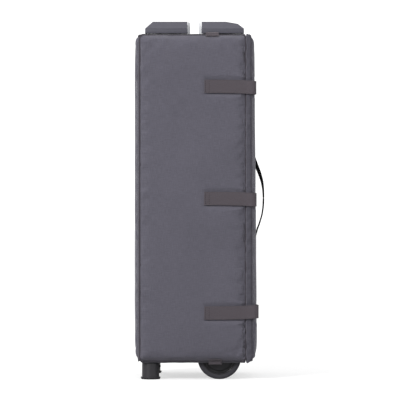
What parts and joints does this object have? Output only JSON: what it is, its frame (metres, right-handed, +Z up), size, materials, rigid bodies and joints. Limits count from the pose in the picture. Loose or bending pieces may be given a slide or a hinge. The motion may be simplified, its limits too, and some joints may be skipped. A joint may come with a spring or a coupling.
{
  "type": "playpen",
  "caption": "Travel playpen folded into an upright pack: hinged tube frame with feet and wheels, wrapped in its strapped folding mattress with a carry loop.",
  "frame": {"origin": "on the floor under the middle of the folded pack's bounding box", "axes": "+Z up; -Y the front, where the closing straps fasten; +X the side with the carry loop, above the wheels"},
  "size_m": [0.269, 0.246, 0.746],
  "materials": {
    "panel_fabric": "plain-woven polyester, matt, with a light sheen",
    "foam": "soft open-cell foam",
    "board": "raw hardboard",
    "fold_fabric": "plain-woven polyester, matt",
    "webbing": "woven polypropylene webbing",
    "loop_tape": "brushed loop tape",
    "handle_webbing": "woven black webbing",
    "tube": "pale grey powder coat",
    "corner_moulding": "fine moulded texture",
    "button_moulding": "fine moulded texture",
    "pin": "zinc-plated",
    "foot_moulding": "fine moulded texture",
    "rim_moulding": "satin moulding",
    "tyre": "matt soft tread",
    "wall_fabric": "light polyester and fine mesh, gathered"
  },
  "bodies": {
    "frame": {"front_cover": "panel_fabric", "front_foam": "foam", "front_board": "board", "loop_patches": "loop_tape", "edge_tabs": "webbing", "front_left_post": "tube", "front_right_post": "tube", "back_left_post": "tube", "back_right_post": "tube", "front_left_corner": "corner_moulding", "front_right_corner": "corner_moulding", "back_left_corner": "corner_moulding", "back_right_corner": "corner_moulding", "corner_caps": "corner_moulding", "front_rails": "tube", "back_rails": "tube", "left_rails": "tube", "right_rails": "tube", "rail_latches": "corner_moulding", "pivot_pins": "pin", "hub_body": "corner_moulding", "hub_cap": "corner_moulding", "floor_tubes": "tube", "front_foot": "foot_moulding", "back_foot": "foot_moulding", "front_wheel_bracket": "foot_moulding", "back_wheel_bracket": "foot_moulding", "wheel_axles": "pin", "front_wall": "wall_fabric", "back_wall": "wall_fabric", "left_wall": "wall_fabric", "right_wall": "wall_fabric"},
    "left_panel": {"left_cover": "panel_fabric", "left_foam": "foam", "left_board": "board", "fold_front_left": "fold_fabric"},
    "back_panel": {"back_cover": "panel_fabric", "back_foam": "foam", "back_board": "board", "fold_back_left": "fold_fabric"},
    "right_panel": {"right_cover": "panel_fabric", "right_foam": "foam", "right_board": "board", "fold_back_right": "fold_fabric", "strap_anchors": "webbing", "handle_anchors": "handle_webbing"},
    "bottom_strap": {"strap_bottom": "webbing"},
    "middle_strap": {"strap_middle": "webbing"},
    "top_strap": {"strap_top": "webbing"},
    "carry_loop": {"carry_handle": "handle_webbing"},
    "front_wheel": {"front_tyre": "tyre", "front_rim": "rim_moulding"},
    "back_wheel": {"back_tyre": "tyre", "back_rim": "rim_moulding"},
    "front_latch_button": {"front_button": "button_moulding"},
    "back_latch_button": {"back_button": "button_moulding"},
    "left_latch_button": {"left_button": "button_moulding"},
    "right_latch_button": {"right_button": "button_moulding"},
    "pull_loop": {"hub_pull": "webbing"}
  },
  "joints": [
    {"name": "left_fold", "type": "hinge", "parent": "frame", "child": "left_panel", "pos_m": [-0.12725, -0.1128, 0.377], "axis": [0, 0, 1], "range_deg": [0, 90], "deforming": ["fold_front_left"]},
    {"name": "back_fold", "type": "hinge", "parent": "left_panel", "child": "back_panel", "pos_m": [-0.12725, 0.1157, 0.377], "axis": [0, 0, 1], "range_deg": [0, 90], "deforming": ["fold_back_left"]},
    {"name": "right_fold", "type": "hinge", "parent": "back_panel", "child": "right_panel", "pos_m": [0.10125, 0.1157, 0.377], "axis": [0, 0, 1], "range_deg": [0, 90], "deforming": ["fold_back_right"]},
    {"name": "bottom_strap_peel", "type": "hinge", "parent": "right_panel", "child": "bottom_strap", "pos_m": [0.1103, -0.12185, 0.139], "axis": [0, 0, 1], "range_deg": [0, 150], "deforming": ["strap_bottom"]},
    {"name": "middle_strap_peel", "type": "hinge", "parent": "right_panel", "child": "middle_strap", "pos_m": [0.1103, -0.12185, 0.377], "axis": [0, 0, 1], "range_deg": [0, 150], "deforming": ["strap_middle"]},
    {"name": "top_strap_peel", "type": "hinge", "parent": "right_panel", "child": "top_strap", "pos_m": [0.1103, -0.12185, 0.61], "axis": [0, 0, 1], "range_deg": [0, 150], "deforming": ["strap_top"]},
    {"name": "handle_swing", "type": "hinge", "parent": "right_panel", "child": "carry_loop", "pos_m": [0.112, 0.00145, 0.377], "axis": [0, 0, 1], "range_deg": [-45, 45]},
    {"name": "front_wheel_spin", "type": "hinge", "parent": "frame", "child": "front_wheel", "pos_m": [0.0385, -0.09055, 0.0455], "axis": [0, 1, 0], "continuous": true},
    {"name": "back_wheel_spin", "type": "hinge", "parent": "frame", "child": "back_wheel", "pos_m": [0.0385, 0.09345, 0.0455], "axis": [0, 1, 0], "continuous": true},
    {"name": "front_button_press", "type": "slide", "parent": "frame", "child": "front_latch_button", "axis": [0, 0, 1], "range_m": [0, 0.004], "stiffness_N_per_m": 400},
    {"name": "back_button_press", "type": "slide", "parent": "frame", "child": "back_latch_button", "axis": [0, 0, 1], "range_m": [0, 0.004], "stiffness_N_per_m": 400},
    {"name": "left_button_press", "type": "slide", "parent": "frame", "child": "left_latch_button", "axis": [0, 0, 1], "range_m": [0, 0.004], "stiffness_N_per_m": 400},
    {"name": "right_button_press", "type": "slide", "parent": "frame", "child": "right_latch_button", "axis": [0, 0, 1], "range_m": [0, 0.004], "stiffness_N_per_m": 400},
    {"name": "pull_loop_slide", "type": "slide", "parent": "frame", "child": "pull_loop", "axis": [0, 0, 1], "range_m": [0, 0.026]}
  ],
  "couplings": [
    {"joint": "back_fold", "follows": "left_fold", "ratio": 1},
    {"joint": "right_fold", "follows": "left_fold", "ratio": 1}
  ]
}
